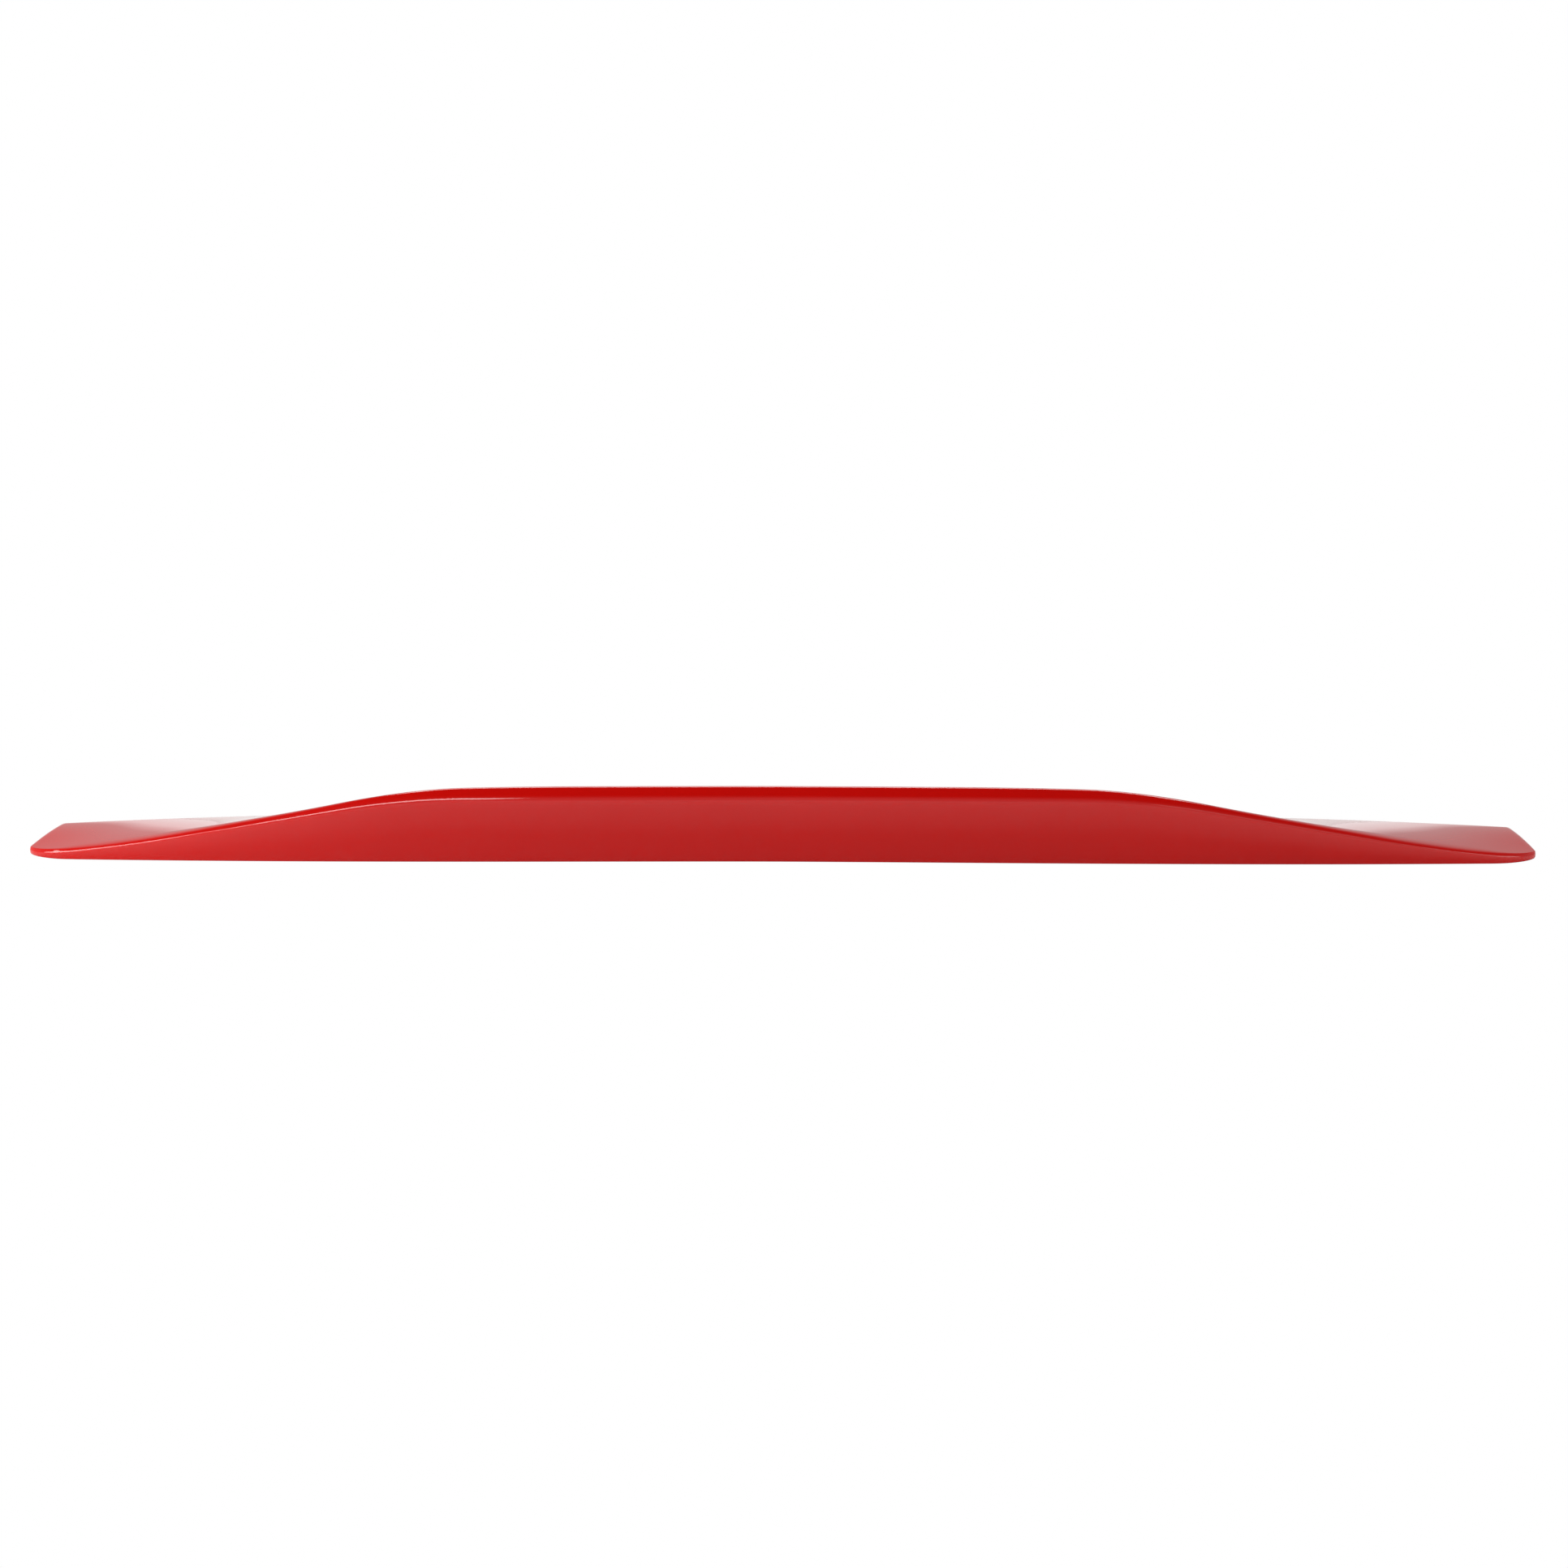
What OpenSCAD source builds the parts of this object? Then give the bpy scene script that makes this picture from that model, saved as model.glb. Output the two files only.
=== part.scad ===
// Boot-lid lip spoiler of the ducktail kind: a painted ABS skin bonded to a
// ribbed base panel, held on the boot lid by studs, pins and foam tape.
// X runs across the car, +Y towards its front, +Z up. The origin is midway
// between the two inner studs, on the plane where they leave the base panel.

/* [Overall] */
// Width over both tips
width = 1240; // [1200:10:1280]
// Distance from the rear edge to the front edge, on the centre line
depth = 163; // [160:1:168]
// How far forward the rear edge has swept by the tips
sweep = 69; // [64:1:72]
// How far the rear edge has dropped by the tips
crown = 8.5; // [6:0.5:10]
// Rear edge to the straight row of studs and pins, on the centre line
stud_row = 92; // [90:1:94]

/* [Rear face and lip] */
// Height of the rear face over its middle stretch
rear_h = 52; // [48:1:56]
// How far the top of the rear face leans back
lean = 18; // [15:1:20]
// Distance from the centre line to the middle of the bend into each ramp
ramp_start = 295; // [285:5:305]
// Fall of each ramp per millimetre of width
ramp_fall = 0.17; // [0.165:0.001:0.172]
// Height of the lip band over the middle stretch
lip_mid = 11; // [9:0.5:12]
// Height of the lip band at the tips
lip_end = 3; // [2.5:0.5:4]
// Width of each rounded rear corner
corner_w = 38; // [34:1:42]
// How far each rounded rear corner curls forward
corner_d = 18; // [14:1:20]

/* [Skin and base panel] */
// Thickness of the skin
skin_t = 3; // [2.8:0.1:3.2]
// Thickness of the skin at its front edge
edge_t = 3.5; // [3.3:0.1:4]
// Thickness of the base panel
panel_t = 2.5; // [2.2:0.1:2.6]
// Height of the tape land above the boot lid
land = 1.5; // [1.4:0.1:1.6]
// Height of the upstand along the rear of the base panel
upstand = 14; // [12:1:15]
// Thickness of each cross rib
rib_t = 2.5; // [2:0.5:3]

/* [Studs and pins] */
// Distances of the studs from the centre line
stud_x = [130, 275, 415];
// Stud thread, nominal diameter
stud_d = 6; // [5:1:6]
// Length of stud below its seat
stud_free = 18; // [15:1:19]
// Distance of each locating pin from the centre line
pin_x = 480; // [476:1:484]
// Locating pin diameter
pin_d = 7; // [6:0.5:8]
// Length of locating pin below its flange
pin_free = 9; // [7:1:10]

/* [Tape] */
// Width of the rear tape strips
rear_tape_w = 12; // [10:1:13]
// Width of the front tape strips
front_tape_w = 14; // [12:1:15]
// Thickness of the foam tape
tape_t = 1.1; // [1:0.05:1.15]
// Thickness of the release liner
liner_t = 0.15; // [0.1:0.05:0.15]

/* [Hidden] */
$fn = 48;

tip_cut = 0.05;          // sliver trimmed from each tip of the skin
half = width / 2 + tip_cut;
gap = 0.08;              // clearance where two bonded pieces meet
rib_gap = 0.4;           // adhesive gap over the ribs and screw blocks
block_gap = 0.6;         // adhesive gap over the end blocks
front_room = 24;         // front edge to the front edges of the panel and end blocks, at least
seal_t = 0.8;            // thickness of the front edge seal
seal_w = 4.5;            // width of the front edge seal
hem_w = 5;               // width of the skin's front hem
trim = 2;                // length cut off each end of a lofted strip
bead_t = 1;              // thickness of the seam bonds
bead_w = 10;             // width of the front seam bond
panel_end = 578;         // half-length of the base panel
block_in = 582;          // inner end of an end block
block_out = 602;         // outer end of an end block
seat_lift = 1.7;         // a stud's or pin's seat above the boot lid
boss_r = 10;             // stud boss radius
boss_h = 7.8;            // stud boss height above its seat
insert_r = 4.5;          // radius of a threaded insert
insert_h = 6.6;          // length of a threaded insert
gasket_r = 10;           // outer radius of a stud gasket
gasket_bore = 5;         // inner radius of a stud gasket
gasket_t = 4;            // free thickness of a stud gasket
pin_boss_r = 8;          // pin boss radius
pin_boss_h = 4.6;        // pin boss height above its seat
screw_x = [60, 205, 345];
screw_back = 26;         // front edge of the base panel to the row of screws
screw_r = 2;             // panel screw radius
block_r = 7;             // screw block radius
rib_x = [0, 95, 170, 240, 310, 380, 450];
drain_x = 225;
drain_r = 4;             // drain plug radius in the base panel
drain_s = 34;            // rear edge to the drain plugs
seal_end = 588;          // half-length of the front edge seal
tape_in = 8;             // rear and front edges to the tapes beside them
end_tape_in = [12, 26];  // rear and front edges to the ends of the end tapes
tape_split = 200;        // joints between the tape strips
tape_joint = 5;          // half the gap at each joint
rear_end = 560;          // outer ends of the rear tapes
front_end = 580;         // outer ends of the front tapes
end_in = 585;            // inner edges of the end tapes
end_out = 599;           // outer edges of the end tapes

// ---- Shape of the boot lid and of the spoiler's outside ----

// rises smoothly from 0 to the line t over the stretch from -w to w
function bend(t, w) = t < -w ? 0 : t > w ? t : (t + w)^2 / (4 * w);

// smooth step from 0 at a to 1 at b
function ease(a, b, x) = let (t = min(1, max(0, (x - a) / (b - a)))) t * t * (3 - 2 * t);

// forward shift of the rear edge round a corner
function curl(x) = let (t = min(1, max(0, (abs(x) - half + corner_w) / corner_w)))
    corner_d * (1 - sqrt(1 - t * t));

// rise of the boot lid at a distance s forward of the spoiler's rear edge
function lid_rise(s) = 0.2 * s - 0.0005 * s * s;
function lid_slope(s) = 0.2 - 0.001 * s;

// rear edge line, without the corners' curl
function rear_y(x) = sweep * (abs(x) / half)^2.5 - stud_row;
function edge_z(x) = -crown * (abs(x) / half)^1.7;
datum = edge_z(stud_x[0]) + lid_rise(-rear_y(stud_x[0])) + seat_lift;
function rear_z(x) = edge_z(x) - datum;
function lid_z(x, y) = rear_z(x) + lid_rise(y - rear_y(x));

// front edge line: straight across, cut back obliquely over the last 11 mm of each end
function front_y(x) = let (t = max(0, (abs(x) - half + 11) / 11))
    depth - stud_row - 68 * t^1.3;

function rear_top(x) = rear_h
    - ramp_fall * (bend(abs(x) - ramp_start, 54) - bend(abs(x) - 600, 111))
    + 0.8 * lid_rise(curl(x));
function lip(x) = lip_end + (lip_mid - lip_end) * (1 - ease(150, 600, abs(x)));
function fullness(x) = min(1, rear_top(x) / rear_h);

// three corners of the section: foot and top of the rear face, and crest of the lip
function foot(x) = [rear_y(x) + curl(x), lid_z(x, rear_y(x) + curl(x))];
function crease(x) = [rear_y(x) + curl(x) - lean * fullness(x), rear_z(x) + rear_top(x)];
function crest(x) = crease(x) + lip(x) * [0.75, 1];

function rear_lean(x) = (foot(x).x - crease(x).x) / (crease(x).y - foot(x).y);

// top surface: one cubic from the crest to the front edge
function crest_slope(x) = 0.12 - 0.5 * ease(0.2, 1, fullness(x));
function front_slope(x) = 0.03
    - 0.11 * ease(300, 430, abs(x)) * (1 - 0.8 * ease(470, 610, abs(x)));
function top_z(x, y) = let (
        k = crest(x),
        len = front_y(x) - k.x,
        t = min(1, max(0, (y - k.x) / len)),
        z1 = lid_z(x, front_y(x)) + edge_t)
    k.y * (1 + 2 * t) * (1 - t)^2 + z1 * t * t * (3 - 2 * t)
    + crest_slope(x) * len * t * (1 - t)^2 - front_slope(x) * len * t * t * (1 - t);

// underside of the skin, flat on the tape land near the front edge and solid at the tips
function recess(x) = land * (1 - ease(606, 613, abs(x)));
function under_z(x, y) = max(lid_z(x, y) + recess(x), top_z(x, y) - 1.06 * skin_t);

// ---- Lofting ----

function unit(v) = v / norm(v);
// rounded corner at v, from a distance r before it to r, or far, after it
function round_corner(before, v, after, r, n, far = 0) = [
    for (i = [0 : n]) let (t = i / n)
        v + unit(before - v) * r * (1 - t)^2 + unit(after - v) * max(r, far) * t^2];
function between(a, b, n) = [for (i = [0 : n]) a + (b - a) * i / n];
function at_x(x, ring) = [for (p = ring) [x, p.x, p.y]];

// joins rings of equal length, given in order of rising x, into one closed solid
module loft(rings) {
    m = len(rings[0]);
    last = len(rings) - 1;
    polyhedron([for (r = rings) each r], [
        [for (j = [m - 1 : -1 : 0]) j],
        for (i = [0 : last - 1]) for (j = [0 : m - 1]) let (
            k = (j + 1) % m, a = i * m + j, b = i * m + k, c = b + m, d = a + m)
            each [[a, b, c], [a, c, d]],
        [for (j = [0 : m - 1]) last * m + j]
    ], convexity = 10);
}

function mirrored(xs) = concat([for (i = [len(xs) - 1 : -1 : 0]) if (xs[i] > 0) -xs[i]], xs);
// stations: wide apart along the middle, closer on the ramps, closest round the corners
main_xs = concat([for (x = [0 : 60 : 240]) x], [for (x = [255 : 15 : 570]) x]);
corner_xs = [for (i = [0 : 7]) half - corner_w + corner_w * sin(90 * i / 7)];
skin_xs = mirrored(concat(main_xs, corner_xs));
panel_xs = mirrored(concat(main_xs, [panel_end]));
function stations(x0, x1) = concat([x0], [for (x = skin_xs) if (x > x0 + 1 && x < x1 - 1) x], [x1]);

// cuts a lofted piece off square at x0 and x1
module trimmed(x0, x1) {
    intersection() {
        children();
        translate([x0, -depth, -depth]) cube([x1 - x0, 2 * depth, 2 * depth]);
    }
}

// a strip that follows the boot lid from x0 to x1, at heights from low to high above it
module strip(edge, x0, x1, low, high, across = 2) {
    trimmed(x0, x1) loft([for (x = stations(x0 - trim, x1 + trim)) let (y = strip_edges(x, edge))
        at_x(x, concat(
            [for (v = between(y[0], y[1], across)) [v, lid_z(x, v) + high]],
            [for (v = between(y[1], y[0], across)) [v, lid_z(x, v) + low]]))]);
}
function strip_edges(x, edge) =
    edge == "rear" ? [rear_y(x) + tape_in, rear_y(x) + tape_in + rear_tape_w] :
    edge == "front" ? [front_y(x) - tape_in - front_tape_w, front_y(x) - tape_in] :
    edge == "seal" ? [front_y(x) - seal_w, front_y(x)] :
    [rear_y(x) + end_tape_in[0], front_y(x) - end_tape_in[1]];

// ---- Skin ----

// 0 where the crest of the lip is crisp, 1 on the ramps where it is broadly rounded
function softness(x) = ease(250, 400, abs(x)) * (1 - ease(560, 605, abs(x)));

// 0 where the skin is hollow, 1 at the tips where it is solid
function solidity(x) = ease(604, 613, abs(x));

function skin_ring(x) = let (
        f = foot(x), c = crease(x), k = crest(x), fy = front_y(x), len = fy - k.x,
        lift = seal_t * (1 - ease(590, 604, abs(x))),
        hem = lid_z(x, fy) + lift,
        hem_y = fy - min(hem_w, 0.3 * len),
        soft = softness(x),
        peak_r = lip(x) * (0.35 + 0.35 * soft),
        peak_far = peak_r + 9 * soft,
        top_y = [k.x + min(6 + 8 * soft, 0.3 * len), fy - min(4, 0.25 * len)],
        ahead = [top_y[0], top_z(x, top_y[0])],
        edge = [fy, top_z(x, fy)],
        wall = skin_t * 1.06,
        foot_rise = lid_z(x, f.x + wall) - f.y,
        inner_foot = [f.x + wall - rear_lean(x) * foot_rise, f.y + foot_rise],
        filled = solidity(x),
        full_crease = [c.x + wall + rear_lean(x), max(c.y - 1, lid_z(x, c.x + wall) + recess(x))],
        inner_crease = full_crease * (1 - filled) + (inner_foot + [0.5, 0.1]) * filled,
        inner_end = (k.x + 5) * (1 - filled) + (inner_foot.x + 1) * filled,
        inner_z = function(y) under_z(x, y) * (1 - filled) + lid_z(x, y) * filled)
    concat(
        round_corner(inner_foot, f, c, 1.2, 2),
        round_corner(f, c, k, 0.45 * lip(x), 4),
        round_corner(c, k, ahead, peak_r, 4, peak_far),
        [for (y = between(top_y[0], top_y[1], 9)) [y, top_z(x, y)]],
        round_corner([top_y[1], top_z(x, top_y[1])], edge, [fy, hem], 1.4, 3),
        [[fy, hem], [hem_y, lid_z(x, hem_y) + lift]],
        [for (y = between(hem_y - 0.5 * filled, inner_end, 10)) [y, inner_z(y)]],
        [inner_crease, inner_foot]);

module outer_skin() {
    color([0.78, 0.05, 0.03])
    trimmed(-width / 2, width / 2) loft([for (x = skin_xs) at_x(x, skin_ring(x))]);
}

// ---- Base panel ----

// y, between a and b, where the height under the skin has closed to h
function room(x, y) = under_z(x, y) - lid_z(x, y);
function find_y(x, h, a, b, n = 12) = n == 0 ? a : let (m = (a + b) / 2)
    room(x, m) > h ? find_y(x, h, m, b, n - 1) : find_y(x, h, a, m, n - 1);
function panel_front(x) =
    find_y(x, land + panel_t + bead_t, rear_y(x) + 20, front_y(x) - front_room);

// rear side of the upstand, parallel to the leaning rear face
function upstand_y(x, h) = rear_y(x) + 1.06 * skin_t + bead_t - rear_lean(x) * h;
function upstand_h(x) = min(upstand, rear_top(x) - 2.5);

function panel_ring(x) = let (
        h = upstand_h(x), z0 = rear_z(x), n = 9,
        y0 = upstand_y(x, land), y1 = upstand_y(x, h), yf = panel_front(x),
        corner = upstand_y(x, land + panel_t) + panel_t)
    concat(
        [[y0, lid_z(x, y0) + land], [y1, z0 + h], [y1 + panel_t, z0 + h]],
        [for (y = between(corner, yf, n)) [y, lid_z(x, y) + land + panel_t]],
        [for (y = between(yf, y0 + 2, n)) [y, lid_z(x, y) + land]]);

// height of the seat of a stud or pin on the straight row at y = 0
function seat_z(x) = lid_z(x, 0) + seat_lift;
module at_seats(xs) {
    for (x = xs) for (side = [-1, 1]) translate([side * x, 0, seat_z(x)]) children();
}
// stands a piece square on the boot lid, lifted by h along the lid's normal
module on_lid(x, y, h) {
    translate([x, y, lid_z(x, y)]) rotate([atan(lid_slope(y - rear_y(x))), 0, 0])
        translate([0, 0, h]) children();
}
function screw_y(x) = panel_front(x) - screw_back;
module at_screws(h) {
    for (x = screw_x) for (side = [-1, 1]) on_lid(side * x, screw_y(x), h) children();
}
module at_drains(h) {
    for (side = [-1, 1]) on_lid(side * drain_x, rear_y(drain_x) + drain_s, h) children();
}

module base_panel() {
    color([0.06, 0.06, 0.065])
    difference() {
        loft([for (x = panel_xs) at_x(x, panel_ring(x))]);
        at_seats(stud_x) translate([0, 0, -10]) cylinder(r = boss_r + gap, h = 20);
        at_seats([pin_x]) translate([0, 0, -10]) cylinder(r = pin_boss_r + gap, h = 20);
        at_screws(-2) cylinder(r = screw_r + 0.2, h = 10);
        at_drains(-2) cylinder(r = drain_r + gap, h = 10);
    }
}

// ---- Inside: ribs, end blocks, bonds ----

module cross_ribs() {
    color([0.72, 0.71, 0.67])
    for (x = mirrored(rib_x)) {
        back = upstand_y(x, upstand_h(x)) + panel_t + 1;
        low_back = upstand_y(x, 0) + panel_t + 4;
        front = panel_front(x) - bead_w - 2;
        floor_h = land + panel_t + 0.1;
        translate([x - rib_t / 2, 0, 0]) rotate([90, 0, 90]) linear_extrude(rib_t) polygon(concat(
            [[back, rear_z(x) + upstand_h(x) + 2]],
            [for (y = between(crest(x).x + 8, front, 8)) [y, under_z(x, y) - rib_gap]],
            [for (y = between(front, low_back, 6)) [y, lid_z(x, y) + floor_h]]));
    }
}

// a wedge that fills the space between the skin and the tape land, thinning towards the front
module end_block() {
    color([0.72, 0.71, 0.67])
    loft([for (x = between(block_in, block_out, 4)) let (
        y0 = foot(x).x + skin_t + 1.7,
        y1 = find_y(x, land + 2 * block_gap, y0, front_y(x) - front_room))
        at_x(x, concat(
            [for (y = between(y0, y1, 6)) [y, under_z(x, y) - block_gap]],
            [for (y = between(y1, y0, 6)) [y, lid_z(x, y) + land]]))]);
}
module end_block_left() { mirror([1, 0, 0]) end_block(); }
module end_block_right() { end_block(); }

module seam_bond_rear() {
    color([0.16, 0.16, 0.15])
    loft([for (x = panel_xs) let (z0 = rear_z(x), h = upstand_h(x) - 1) at_x(x, [
        for (p = [[3, 0], [h, 0], [h, 1], [3, 1]])
            [upstand_y(x, p[0]) - (p[1] == 0 ? bead_t - gap : gap), z0 + p[0]]])]);
}

module seam_bond_front() {
    color([0.16, 0.16, 0.15])
    trimmed(trim - panel_end, panel_end - trim)
    loft([for (x = panel_xs) let (yf = panel_front(x)) at_x(x, concat(
        [for (y = between(yf - bead_w, yf, 3)) [y, under_z(x, y) - gap]],
        [for (y = between(yf, yf - bead_w, 3)) [y, lid_z(x, y) + land + panel_t + 2 * gap]]))]);
}

// ---- Fasteners ----

function screw_block_h(x) = let (y = screw_y(x) + block_r)
    room(x, y) - land - panel_t - 2 * gap - rib_gap;
module screw_blocks() {
    color([0.75, 0.75, 0.7])
    for (x = screw_x) for (side = [-1, 1])
        on_lid(side * x, screw_y(x), land + panel_t + 2 * gap) difference() {
            cylinder(r = block_r, h = screw_block_h(x));
            translate([0, 0, -1]) cylinder(r = screw_r - 0.4, h = screw_block_h(x) + 2);
        }
}

module panel_screws() {
    color([0.6, 0.6, 0.62])
    at_screws(0.1) rotate_extrude() polygon([
        [0, 0.2], [1, 0], [3.2, 0], [3.9, 0.4], [3.9, 1.15], [screw_r, 1.15],
        [screw_r, 3.8], [screw_r - 0.5, 3.95], [screw_r - 0.5, 6.5], [0.3, 7.4], [0, 7.4]]);
}

// bosses stand through round holes in the base panel, and their flat lower faces are the seats
module stud_bosses() {
    color([0.2, 0.2, 0.21])
    at_seats(stud_x) difference() {
        cylinder(r = boss_r, h = boss_h);
        translate([0, 0, -1]) cylinder(r = insert_r + 0.05, h = insert_h + 1.1);
    }
}

module pin_bosses() {
    color([0.2, 0.2, 0.21])
    at_seats([pin_x]) difference() {
        cylinder(r = pin_boss_r, h = pin_boss_h);
        translate([0, 0, -1]) cylinder(r = 3.05, h = 5.1);
    }
}

module stud_inserts() {
    color([0.72, 0.56, 0.25])
    at_seats(stud_x) rotate_extrude() polygon([
        [stud_d / 2 - 0.45, 0.02], [insert_r, 0.02], [insert_r, 3], [insert_r - 0.5, 3.3],
        [insert_r - 0.5, 4.7], [insert_r, 5], [insert_r, insert_h - 0.6],
        [insert_r - 0.6, insert_h], [stud_d / 2 - 0.45, insert_h]]);
}

// the thread that runs in the insert is drawn at its root diameter
module mounting_studs() {
    color([0.7, 0.71, 0.73])
    at_seats(stud_x) rotate_extrude() polygon([
        [0, -stud_free], [stud_d / 2 - 0.8, -stud_free], [stud_d / 2, -stud_free + 0.8],
        [stud_d / 2, -0.1], [stud_d / 2 - 0.5, -0.1], [stud_d / 2 - 0.5, insert_h - 1],
        [stud_d / 2 - 1, insert_h - 0.5], [0, insert_h - 0.5]]);
}

module stud_gaskets() {
    color([0.12, 0.12, 0.12])
    at_seats(stud_x) translate([0, 0, -gasket_t - 0.02]) difference() {
        cylinder(r = gasket_r, h = gasket_t);
        translate([0, 0, -1]) cylinder(r = gasket_bore, h = gasket_t + 2);
    }
}

module locating_pins() {
    color([0.88, 0.87, 0.82])
    at_seats([pin_x]) rotate_extrude() polygon([
        [0, -pin_free], [pin_d / 2 - 1.5, -pin_free], [pin_d / 2, -pin_free + 2.5],
        [pin_d / 2, -1.52], [6.5, -1.52], [6.5, -0.02], [3, -0.02], [3, 3], [2.2, 3.9], [0, 3.9]]);
}

module drain_plugs() {
    color([0.14, 0.14, 0.14])
    at_drains(land - 1) difference() {
        rotate_extrude() polygon([
            [0, 0.2], [6, 0.2], [6.5, 0.5], [6.5, 0.8], [drain_r, 0.8], [drain_r, 3.75],
            [drain_r + 0.6, 4], [drain_r - 0.4, 6], [0, 6]]);
        translate([0, 0, -1]) cylinder(r = 2, h = 10);
    }
}

// ---- Seal, tapes and liners ----

module front_edge_seal() {
    color([0.1, 0.1, 0.1])
    strip("seal", -seal_end, seal_end, 0, seal_t - gap, 1);
}

module tape(edge, x0, x1) {
    color([0.3, 0.31, 0.32])
    strip(edge, x0, x1, land - gap - tape_t, land - gap);
}
module liner(edge, x0, x1) {
    top = land - 1.4 * gap - tape_t;
    color([0.75, 0.12, 0.1])
    strip(edge, x0, x1, top - liner_t, top);
}

module tape_rear_left() { tape("rear", -rear_end, -tape_split - tape_joint); }
module tape_rear_centre() { tape("rear", -tape_split + tape_joint, tape_split - tape_joint); }
module tape_rear_right() { tape("rear", tape_split + tape_joint, rear_end); }
module tape_front_left() { tape("front", -front_end, -tape_split - tape_joint); }
module tape_front_centre() { tape("front", -tape_split + tape_joint, tape_split - tape_joint); }
module tape_front_right() { tape("front", tape_split + tape_joint, front_end); }
module tape_end_left() { tape("end", -end_out, -end_in); }
module tape_end_right() { tape("end", end_in, end_out); }

module liner_rear_left() { liner("rear", -rear_end, -tape_split - tape_joint); }
module liner_rear_centre() { liner("rear", -tape_split + tape_joint, tape_split - tape_joint); }
module liner_rear_right() { liner("rear", tape_split + tape_joint, rear_end); }
module liner_front_left() { liner("front", -front_end, -tape_split - tape_joint); }
module liner_front_centre() { liner("front", -tape_split + tape_joint, tape_split - tape_joint); }
module liner_front_right() { liner("front", tape_split + tape_joint, front_end); }
module liner_end_left() { liner("end", -end_out, -end_in); }
module liner_end_right() { liner("end", end_in, end_out); }

outer_skin();
base_panel();
cross_ribs();
end_block_left();
end_block_right();
seam_bond_rear();
seam_bond_front();
screw_blocks();
panel_screws();
stud_bosses();
stud_inserts();
mounting_studs();
stud_gaskets();
pin_bosses();
locating_pins();
drain_plugs();
front_edge_seal();
tape_rear_left();
tape_rear_centre();
tape_rear_right();
tape_front_left();
tape_front_centre();
tape_front_right();
tape_end_left();
tape_end_right();
liner_rear_left();
liner_rear_centre();
liner_rear_right();
liner_front_left();
liner_front_centre();
liner_front_right();
liner_end_left();
liner_end_right();
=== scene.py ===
import math
import bmesh
import bpy
from mathutils import Matrix, Vector


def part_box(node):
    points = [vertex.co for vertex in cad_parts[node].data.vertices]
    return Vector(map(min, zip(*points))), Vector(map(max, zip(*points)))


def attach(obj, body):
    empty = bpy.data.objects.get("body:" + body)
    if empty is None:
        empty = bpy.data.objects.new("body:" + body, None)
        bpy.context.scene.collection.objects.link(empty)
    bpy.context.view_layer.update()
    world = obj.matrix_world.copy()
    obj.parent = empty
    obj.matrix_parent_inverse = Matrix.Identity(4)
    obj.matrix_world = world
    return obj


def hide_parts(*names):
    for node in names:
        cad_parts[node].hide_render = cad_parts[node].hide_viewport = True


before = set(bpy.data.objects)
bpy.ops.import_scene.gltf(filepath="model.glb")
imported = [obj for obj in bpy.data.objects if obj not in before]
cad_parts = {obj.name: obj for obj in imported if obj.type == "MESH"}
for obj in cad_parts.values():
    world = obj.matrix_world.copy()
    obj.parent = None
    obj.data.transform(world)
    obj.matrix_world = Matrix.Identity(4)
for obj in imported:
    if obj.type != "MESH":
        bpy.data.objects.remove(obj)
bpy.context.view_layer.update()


# ---- Camera ----
# Stands behind the spoiler and a little above it, three metres away, with a long lens.

YAW = math.radians(-2.265)
PITCH = math.radians(6.9)
ROLL = math.radians(-0.12)
DISTANCE = 3.0
aim = Vector((0.0, -0.012, 0.0099))
across = Vector((math.cos(YAW), -math.sin(YAW), 0))
ahead = Vector((math.sin(YAW), math.cos(YAW), 0))
forward = ahead * math.cos(PITCH) - Vector((0, 0, math.sin(PITCH)))
upward = ahead * math.sin(PITCH) + Vector((0, 0, math.cos(PITCH)))
right = across * math.cos(ROLL) + upward * math.sin(ROLL)
top = upward * math.cos(ROLL) - across * math.sin(ROLL)
lens = bpy.data.cameras.new("rear_camera")
lens.lens = 83.93
lens.sensor_width = 36
lens.shift_x = 0.0048
lens.shift_y = 0.0223
lens.clip_end = 100
camera = bpy.data.objects.new("rear_camera", lens)
bpy.context.scene.collection.objects.link(camera)
camera.matrix_world = Matrix.Translation(aim - forward * DISTANCE) @ Matrix((
    (right.x, top.x, -forward.x), (right.y, top.y, -forward.y),
    (right.z, top.z, -forward.z))).to_4x4()
bpy.context.scene.camera = camera
bpy.context.scene.view_settings.view_transform = "Standard"


# ---- Studio ----
# Plain white to the camera. A pale floor under the studs, a sky that is bright round the horizon
# and dark overhead, and soft boxes: two behind the spoiler, one in front, one low at each side.

def linear(hex_colour):
    """The linear colour that a socket takes, from an sRGB hex value such as "c80e08"."""
    parts = [int(hex_colour[i:i + 2], 16) / 255 for i in (0, 2, 4)]
    return [c / 12.92 if c <= 0.04045 else ((c + 0.055) / 1.055) ** 2.4 for c in parts] + [1]


def add(tree, kind, inputs=None, **settings):
    """Adds a shader node. inputs gives values or other nodes' outputs, by socket name or number."""
    node = tree.nodes.new(kind)
    for name, value in settings.items():
        setattr(node, name, value)
    for name, value in (inputs or {}).items():
        if isinstance(value, bpy.types.NodeSocket):
            tree.links.new(value, node.inputs[name])
        else:
            node.inputs[name].default_value = value
    return node


def shape_ramp(ramp_node, stops):
    """Sets a colour ramp's stops from (position, grey value or colour) pairs."""
    ramp = ramp_node.color_ramp
    while len(ramp.elements) < len(stops):
        ramp.elements.new(0.5)
    for element, (position, value) in zip(ramp.elements, stops):
        element.position = position
        element.color = value if isinstance(value, list) else (value, value, value, 1)


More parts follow.
